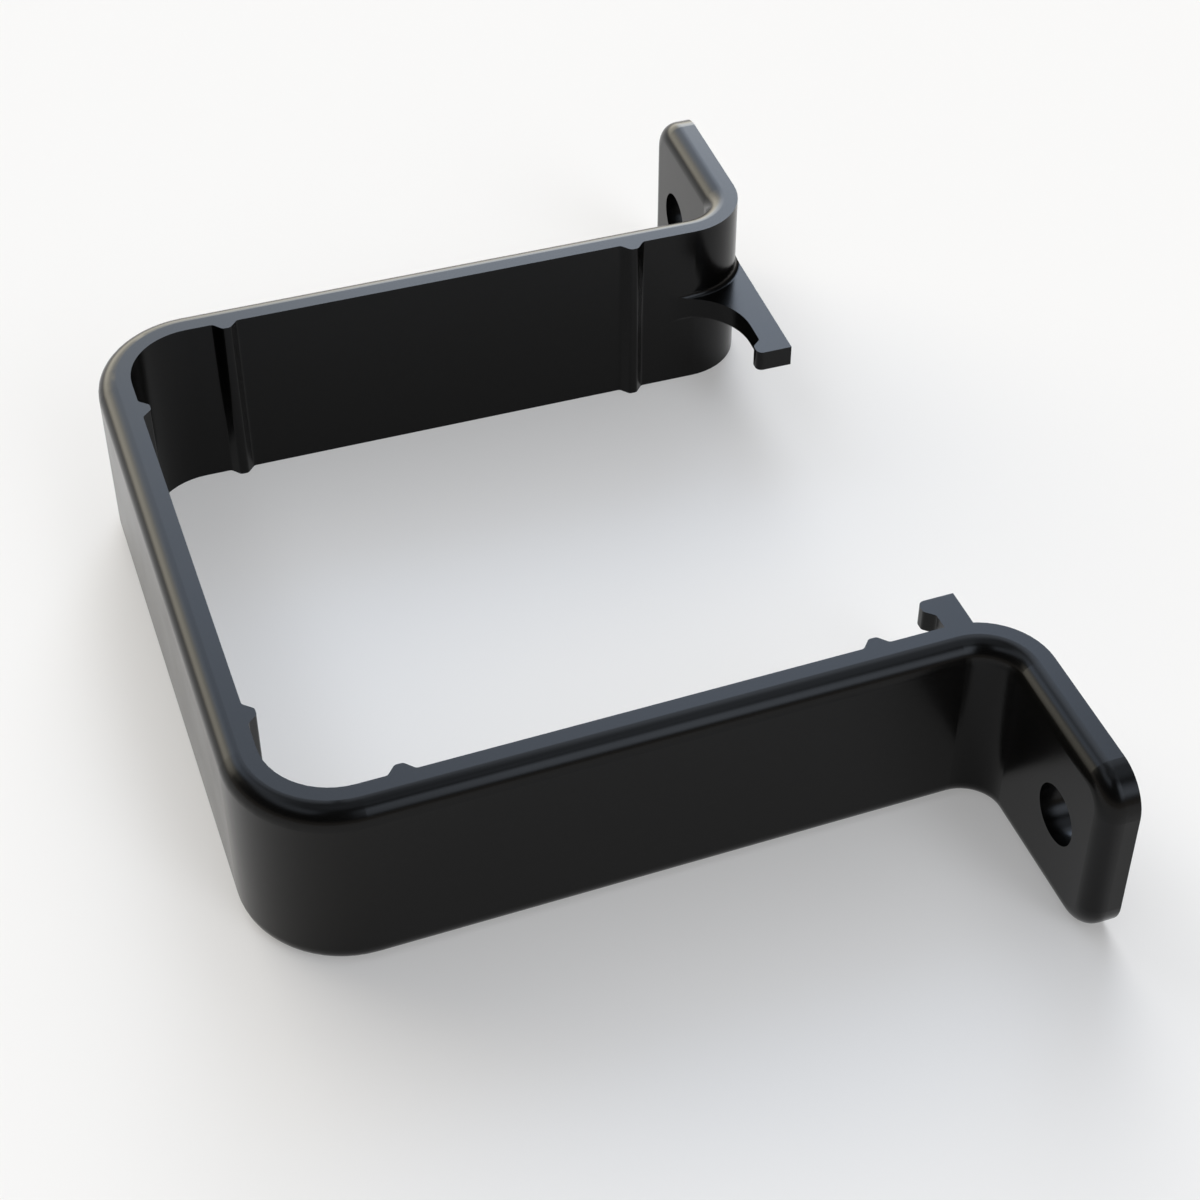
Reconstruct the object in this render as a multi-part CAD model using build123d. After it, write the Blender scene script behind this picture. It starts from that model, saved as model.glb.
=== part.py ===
from build123d import *
from math import cos, radians, sin, tan
import os

os.makedirs("parts", exist_ok=True)

# Downpipe clip, moulded in one piece. Lengths in millimetres, angles in degrees.
# Frame: X runs along the wall, +Y points into the wall, Z runs up along the pipe.
# The origin is midway between the screw holes, level with the ears' backs where they leave the arms.

# Square pipe and the room it is given
PIPE = 65.0            # outside width of the pipe
SIDE_PLAY = 0.5        # rib tip to pipe at each arm, level with the closed side
CLOSED_PLAY = 0.3      # rib tip to pipe at the closed side
NUB_PLAY = 0.6         # nub to pipe at the hooks

# Ribs that touch the pipe
RIB_RISE = 1.0         # how far a rib stands off the strap
RIB_TIP = 0.8          # width of its flat tip
RIB_FLANK = 0.9        # width of each sloping side
RIB_ROUND = 0.5        # rounding at its tip and at its foot
RIB_INSET = 9.95       # from the pipe's side to the middle of the nearest rib

# Strap
HEIGHT = 20.0          # along the pipe
WALL = 3.5             # thickness all the way round
CORNER_R = 7.0         # inside radius of the two corners at the closed side
BEND_R = 7.0           # pipe-side radius where an arm turns out into its ear
TOE_IN = 1.0           # angle by which each arm leans in towards the mouth
EDGE_R = 2.0           # rounding of every outer edge

# Ears
EAR_LENGTH = 24.0      # from the arm's inner face to the end of the ear
EAR_CORNER_R = 4.0     # corners of the ear, seen from the front
HOLE_R = 3.0           # screw hole
HOLE_REACH = 16.5      # from the arm's inner face to the middle of the hole

# Hooks
HOOK_THICK = 2.4       # along the pipe
HOOK_DEPTH = 2.9       # from the hook's back, flush with the ear's, to its pipe side
HOOK_REACH = 12.0      # from the arm's inner face to the end of the hook
HOOK_CORNER_R = 7.0    # hollow corner between arm and hook
NUB_TIP = 1.4          # width of the flat on the nub at the hook's end
NUB_END_R = 0.7        # rounding at the free corner of the nub
ROOT_R = 0.6           # fillet above and below, where a hook joins the strap

# Sizes that follow
HALF_INSIDE = PIPE / 2 + SIDE_PLAY + RIB_RISE
PIPE_Y = -(HOOK_DEPTH + RIB_RISE + NUB_PLAY + PIPE / 2)
INSIDE_DEPTH = -PIPE_Y + PIPE / 2 + CLOSED_PLAY + RIB_RISE
RIB_HALF_PITCH = PIPE / 2 - RIB_INSET
SINK = WALL / 2        # how deep ribs and hooks run into the strap to join it
ARM_X = HALF_INSIDE - INSIDE_DEPTH * tan(radians(TOE_IN))
UP_ARM = Vector(-sin(radians(TOE_IN)), cos(radians(TOE_IN)))
ALONG_EAR = Vector(cos(radians(TOE_IN)), sin(radians(TOE_IN)))


def rounded_outline(points, radii):
    """A flat outline through the points, with the corner at each listed place rounded."""
    face = Polygon(*[(p.X, p.Y) for p in points], align=None)
    for place, radius in radii.items():
        corner = face.vertices().sort_by_distance(points[place])[0]
        face = fillet(corner, radius=radius)
    return face


def arm_point(down, out=0.0):
    """A point 'down' the +X arm from where it meets the ear, 'out' of its inner face."""
    return Vector(ARM_X, 0) - UP_ARM * down + ALONG_EAR * out


def ear_point(along, forward=0.0):
    """A point 'along' the +X ear from the arm's inner face, 'forward' of its back face."""
    return Vector(ARM_X, 0) + ALONG_EAR * along - UP_ARM * forward


def strap_points(out):
    """The +X half of the strap's pipe-side line, moved 'out' into the wall thickness."""
    corner_x = HALF_INSIDE + out * tan(radians(90 + TOE_IN) / 2)
    middle = Vector(0, -INSIDE_DEPTH - out)
    corner = Vector(corner_x, -INSIDE_DEPTH - out)
    return [middle, corner, arm_point(out, out), ear_point(EAR_LENGTH, out)]


# Strap, seen from above: half of it, with one rib on the closed side and two on the arm
pipe_side = strap_points(0)
outside = strap_points(WALL)
strap_half = rounded_outline(
    pipe_side + outside[::-1],
    {1: CORNER_R, 2: BEND_R, 5: BEND_R - WALL, 6: CORNER_R + WALL},
)

rib_foot = RIB_TIP / 2 + RIB_FLANK
rib_base = rib_foot + RIB_RISE
rib = rounded_outline(
    [
        Vector(-rib_base, -SINK),
        Vector(-rib_base, 0),
        Vector(-rib_foot, 0),
        Vector(-RIB_TIP / 2, RIB_RISE),
        Vector(RIB_TIP / 2, RIB_RISE),
        Vector(rib_foot, 0),
        Vector(rib_base, 0),
        Vector(rib_base, -SINK),
    ],
    {2: RIB_ROUND, 3: RIB_ROUND, 4: RIB_ROUND, 5: RIB_ROUND},
)
strap_half += Pos(RIB_HALF_PITCH, -INSIDE_DEPTH) * rib
for side in (-1, 1):
    down = -(PIPE_Y + side * RIB_HALF_PITCH) / cos(radians(TOE_IN))
    foot = arm_point(down)
    strap_half += Pos(foot.X, foot.Y) * Rot(0, 0, 90 + TOE_IN) * rib

strap_plan = strap_half + mirror(strap_half, about=Plane.YZ)
strap = extrude(strap_plan, amount=HEIGHT / 2, both=True)

# Ear corners
ear_end = ear_point(EAR_LENGTH, SINK)
at_ear_ends = [
    edge
    for edge in strap.edges()
    if abs(Vector(abs(edge.center().X), edge.center().Y) - ear_end) < SINK / 2
]
strap = fillet(at_ear_ends, radius=EAR_CORNER_R)

# Rounding of the outer edges: one unbroken chain along the top, round both ears and back
outer_curve = FilletPolyline(*outside, radius=(CORNER_R + WALL, BEND_R - WALL))


def on_outside(edge):
    """Whether the edge's middle lies on the strap's outer side, seen from above."""
    middle = edge.position_at(0.5)
    seen = Vertex(abs(middle.X), middle.Y, 0)
    return outer_curve.distance_to(seen) < WALL / 100


def is_seam(edge):
    """Whether the edge runs up the strap between its ends, where nothing is rounded."""
    upright = abs(edge.tangent_at(0.5).Z) > 0.99
    return upright and abs(edge.center().X) < ear_end.X - WALL


outer_edges = [e for e in strap.edges() if on_outside(e) and not is_seam(e)]
strap = fillet(outer_edges, radius=EDGE_R)

# Screw holes
hole_place = ear_point(HOLE_REACH)
hole = Rot(90, 0, 0) * Cylinder(HOLE_R, 4 * WALL)
for side in (-1, 1):
    strap -= Pos(side * hole_place.X, hole_place.Y, 0) * hole

# Hooks: a flat web at mid height, drawn for +X and mirrored
arm_reach = HOOK_DEPTH + HOOK_CORNER_R + SINK
nub_foot = NUB_TIP + RIB_FLANK - HOOK_REACH
nub_depth = HOOK_DEPTH + RIB_RISE
hook_outline = rounded_outline(
    [
        ear_point(-HOOK_REACH),
        ear_point(BEND_R + SINK),
        ear_point(BEND_R + SINK, SINK),
        arm_point(SINK, SINK),
        arm_point(arm_reach, SINK),
        arm_point(arm_reach),
        arm_point(HOOK_DEPTH),
        ear_point(nub_foot, HOOK_DEPTH),
        ear_point(NUB_TIP - HOOK_REACH, nub_depth),
        ear_point(-HOOK_REACH, nub_depth),
    ],
    {3: BEND_R - SINK, 6: HOOK_CORNER_R, 7: RIB_ROUND, 8: RIB_ROUND, 9: NUB_END_R},
)
hook = extrude(hook_outline, amount=HOOK_THICK / 2, both=True)

# Root of the hook: a bar with hollow sides that follows the arm and the bend, cut to the hook's outline
web_z = HOOK_THICK / 2
root_z = web_z + ROOT_R
root_middle = ROOT_R * (1 - cos(radians(45)))
with BuildSketch() as root_section:
    with BuildLine():
        over = ThreePointArc((0, root_z), (root_middle, web_z + root_middle), (ROOT_R, web_z))
        Line(over @ 1, (ROOT_R, -web_z))
        under = ThreePointArc((ROOT_R, -web_z), (root_middle, -web_z - root_middle), (0, -root_z))
        Polyline(under @ 1, (-SINK, -root_z), (-SINK, root_z), over @ 0)
    make_face()


def across_arm(down):
    """The plane square to the +X arm, its x towards the pipe and its y up."""
    return Plane(origin=arm_point(down), x_dir=-ALONG_EAR, z_dir=UP_ARM)


bend_centre = ear_point(BEND_R, BEND_R)
bar = extrude(across_arm(arm_reach) * root_section.sketch, amount=arm_reach - BEND_R)
bar += revolve(
    across_arm(BEND_R) * root_section.sketch,
    axis=Axis(bend_centre, (0, 0, -1)),
    revolution_arc=90,
)
hook += bar & extrude(hook_outline, amount=root_z, both=True)

clip = strap + hook + mirror(hook, about=Plane.YZ)
clip.label = "pipe_clip"
export_step(clip, "parts/pipe_clip.step")
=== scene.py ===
from collections import namedtuple
from math import cos, pi, radians, sin

import bpy
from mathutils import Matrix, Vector


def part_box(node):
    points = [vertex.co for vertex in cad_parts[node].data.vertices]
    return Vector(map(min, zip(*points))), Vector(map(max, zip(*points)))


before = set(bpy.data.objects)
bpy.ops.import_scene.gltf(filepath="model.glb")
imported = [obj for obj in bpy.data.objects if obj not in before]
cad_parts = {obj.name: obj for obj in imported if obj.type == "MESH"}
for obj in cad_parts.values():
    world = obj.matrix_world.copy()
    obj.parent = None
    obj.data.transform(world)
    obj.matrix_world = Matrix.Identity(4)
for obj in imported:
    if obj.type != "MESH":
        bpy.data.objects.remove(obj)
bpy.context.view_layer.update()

# Downpipe clip in black moulded plastic, lying on a white floor. Lengths in metres.
# Azimuths count from -Y towards +X, elevations from the horizon up, both in degrees where lights are listed.
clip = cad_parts["pipe_clip"]
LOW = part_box("pipe_clip")[0]

# Camera, as solved from the photograph
VIEW_AZIMUTH = radians(70.786)
VIEW_ELEVATION = radians(43.505)
VIEW_DISTANCE = 0.25344
VIEW_TARGET = Vector((0.00558, -0.03158, -0.00356))
LENS = 75.636
NEAREST_SEEN = 0.01
FARTHEST_SEEN = 50.0

# Floor: matt white paint, with part of its white shown without any lamp
FLOOR_SIZE = 6.0
FLOOR_COLOUR = (0.85, 0.79, 0.72, 1.0)
FLOOR_ROUGHNESS = 1.0
FLOOR_GLOSS = 0.0
FLOOR_WHITE = 0.27

# Surroundings: a pale horizon under a soft sky
HORIZON = (0.50, 0.45, 0.40, 1.0)
SKY = (0.06, 0.06, 0.062, 1.0)
HORIZON_TOP = radians(8)
SKY_START = radians(22)

# Soft lights hung in the sky: middle, half size, width of the soft edge, colour and strength
SoftLight = namedtuple("SoftLight", "azimuth elevation half_width half_height edge colour strength")
BLUE = (0.83, 1.0, 1.28)
COOL = (0.90, 1.0, 1.15)
WARM = (1.06, 1.0, 0.84)
SOFT_LIGHTS = (
    # behind the clip, mirrored by the flat tops
    SoftLight(-113, 32, 16, 16, 20, BLUE, 4.4),
    # above that, for a soft start of the rounded edges
    SoftLight(-111, 56, 31, 5, 36, COOL, 3.2),
    # low on the left, the warm line along the outer edge of the closed side and the far arm
    SoftLight(-78, 18, 41, 13, 27, WARM, 5.7),
    # above that, the cool side of the same line
    SoftLight(-72, 40, 24, 8, 20, BLUE, 3.3),
    # on the right, the pale band along the near arm's rounded edge
    SoftLight(113, 40, 14, 18, 22, COOL, 3.1),
    # overhead
    SoftLight(0, 90, 180, 14, 24, COOL, 0.6),
    # high on the wall side, the upper half of the near arm's rounded edge
    SoftLight(180, 68, 60, 8, 16, COOL, 1.1),
    # high in front, the near corner's rounded edge
    SoftLight(-10, 60, 58, 9, 18, COOL, 1.3),
)

# Plastic: near black, satin, with the faint grain of a moulding
PLASTIC = (0.0027, 0.0025, 0.0022, 1.0)
PLASTIC_IOR = 1.28
SHEEN_RANGE = (0.17, 0.24)
SHEEN_PATCH = 0.006
SHEEN_DETAIL = 3.0
GRAIN = 0.00035
GRAIN_DETAIL = 2.0
GRAIN_STRENGTH = 1.0
GRAIN_DEPTH = 0.0000015


def direction(azimuth, elevation):
    """The unit vector towards that azimuth and elevation."""
    level = cos(elevation)
    return Vector((sin(azimuth) * level, -cos(azimuth) * level, sin(elevation)))


def make_camera():
    """The camera at the photograph's place, looking at its target."""
    data = bpy.data.cameras.new("camera")
    data.lens = LENS
    data.clip_start = NEAREST_SEEN
    data.clip_end = FARTHEST_SEEN
    camera = bpy.data.objects.new("camera", data)
    back = direction(VIEW_AZIMUTH, VIEW_ELEVATION)
    camera.location = VIEW_TARGET + back * VIEW_DISTANCE
    camera.rotation_euler = (-back).to_track_quat("-Z", "Y").to_euler()
    bpy.context.scene.collection.objects.link(camera)
    bpy.context.scene.camera = camera


def join(tree, value, socket):
    """Links a socket to the value if that is a socket too, and otherwise sets it."""
    if isinstance(value, bpy.types.NodeSocket):
        tree.links.new(value, socket)
    else:
        socket.default_value = value


def calculate(tree, operation, *values):
    """The output of a new Math node with these inputs."""
    node = tree.nodes.new("ShaderNodeMath")
    node.operation = operation
    for value, socket in zip(values, node.inputs):
        join(tree, value, socket)
    return node.outputs["Value"]


def fade(tree, value, start, end):
    """0 at start, 1 at end and a smooth step between them."""
    node = tree.nodes.new("ShaderNodeMapRange")
    node.interpolation_type = "SMOOTHERSTEP"
    join(tree, value, node.inputs["Value"])
    node.inputs["From Min"].default_value = start
    node.inputs["From Max"].default_value = end
    return node.outputs["Result"]


def mix_colour(tree, factor, first, second, blend="MIX"):
    """The output of a new colour Mix node."""
    node = tree.nodes.new("ShaderNodeMix")
    node.data_type = "RGBA"
    node.blend_type = blend
    join(tree, factor, node.inputs["Factor"])
    join(tree, first, node.inputs["A"])
    join(tree, second, node.inputs["B"])
    return node.outputs["Result"]


def make_world():
    """A pale horizon, a soft sky and the soft lights in it."""
    world = bpy.data.worlds.new("soft_sky")
    world.use_nodes = True
    tree = world.node_tree
    background = tree.nodes["Background"]
    towards = tree.nodes.new("ShaderNodeTexCoord").outputs["Generated"]
    parts = tree.nodes.new("ShaderNodeSeparateXYZ")
    tree.links.new(towards, parts.inputs["Vector"])
    elevation = calculate(tree, "ARCSINE", parts.outputs["Z"])
    forward = calculate(tree, "MULTIPLY", parts.outputs["Y"], -1.0)
    azimuth = calculate(tree, "ARCTAN2", parts.outputs["X"], forward)
    colour = mix_colour(tree, fade(tree, elevation, HORIZON_TOP, SKY_START), HORIZON, SKY)
    for light in SOFT_LIGHTS:
        masks = []
        for angle, middle, half in (
            (azimuth, light.azimuth, light.half_width),
            (elevation, light.elevation, light.half_height),
        ):
            off = calculate(tree, "SUBTRACT", angle, radians(middle))
            off = calculate(tree, "ABSOLUTE", calculate(tree, "WRAP", off, pi, -pi))
            masks.append(fade(tree, off, radians(half + light.edge / 2), radians(half - light.edge / 2)))
        mask = calculate(tree, "MULTIPLY", *masks)
        glow = tuple(light.strength * channel for channel in light.colour) + (1.0,)
        colour = mix_colour(tree, mask, colour, glow, "ADD")
    tree.links.new(colour, background.inputs["Color"])
    bpy.context.scene.world = world


def noise(tree, size, detail):
    """The output of a new Noise Texture in the object's own space, with patches about that size."""
    place = tree.nodes.new("ShaderNodeTexCoord").outputs["Object"]
    node = tree.nodes.new("ShaderNodeTexNoise")
    node.inputs["Scale"].default_value = 1 / size
    node.inputs["Detail"].default_value = detail
    tree.links.new(place, node.inputs["Vector"])
    return node.outputs["Fac"]


def clip_plastic():
    """Black moulded plastic: a satin skin of slightly uneven gloss, with a very fine grain."""
    material = bpy.data.materials.new("clip_plastic")
    material.use_nodes = True
    tree = material.node_tree
    shader = tree.nodes["Principled BSDF"]
    shader.inputs["Base Color"].default_value = PLASTIC
    shader.inputs["IOR"].default_value = PLASTIC_IOR
    spread = tree.nodes.new("ShaderNodeMapRange")
    tree.links.new(noise(tree, SHEEN_PATCH, SHEEN_DETAIL), spread.inputs["Value"])
    spread.inputs["To Min"].default_value = SHEEN_RANGE[0]
    spread.inputs["To Max"].default_value = SHEEN_RANGE[1]
    tree.links.new(spread.outputs["Result"], shader.inputs["Roughness"])
    bump = tree.nodes.new("ShaderNodeBump")
    bump.inputs["Strength"].default_value = GRAIN_STRENGTH
    bump.inputs["Distance"].default_value = GRAIN_DEPTH
    tree.links.new(noise(tree, GRAIN, GRAIN_DETAIL), bump.inputs["Height"])
    tree.links.new(bump.outputs["Normal"], shader.inputs["Normal"])
    return material


def make_floor():
    """A wide white floor just under the clip. It keeps the clip's shadow."""
    bpy.ops.mesh.primitive_plane_add(size=FLOOR_SIZE, location=(0.0, 0.0, LOW.z))
    floor = bpy.context.object
    floor.name = "floor"
    material = bpy.data.materials.new("floor_white")
    material.use_nodes = True
    tree = material.node_tree
    paint = tree.nodes["Principled BSDF"]
    paint.inputs["Base Color"].default_value = FLOOR_COLOUR
    paint.inputs["Roughness"].default_value = FLOOR_ROUGHNESS
    paint.inputs["Specular IOR Level"].default_value = FLOOR_GLOSS
    white = tree.nodes.new("ShaderNodeEmission")
    path = tree.nodes.new("ShaderNodeLightPath").outputs
    seen = calculate(tree, "MAXIMUM", path["Is Camera Ray"], path["Is Glossy Ray"])
    seen = calculate(tree, "MAXIMUM", seen, path["Is Transmission Ray"])
    mix = tree.nodes.new("ShaderNodeMixShader")
    tree.links.new(calculate(tree, "MULTIPLY", seen, FLOOR_WHITE), mix.inputs["Fac"])
    tree.links.new(paint.outputs["BSDF"], mix.inputs[1])
    tree.links.new(white.outputs["Emission"], mix.inputs[2])
    tree.links.new(mix.outputs["Shader"], tree.nodes["Material Output"].inputs["Surface"])
    floor.data.materials.append(material)


make_camera()
make_floor()
make_world()
clip.material_slots[0].material = clip_plastic()

bpy.context.scene.view_settings.view_transform = "Standard"
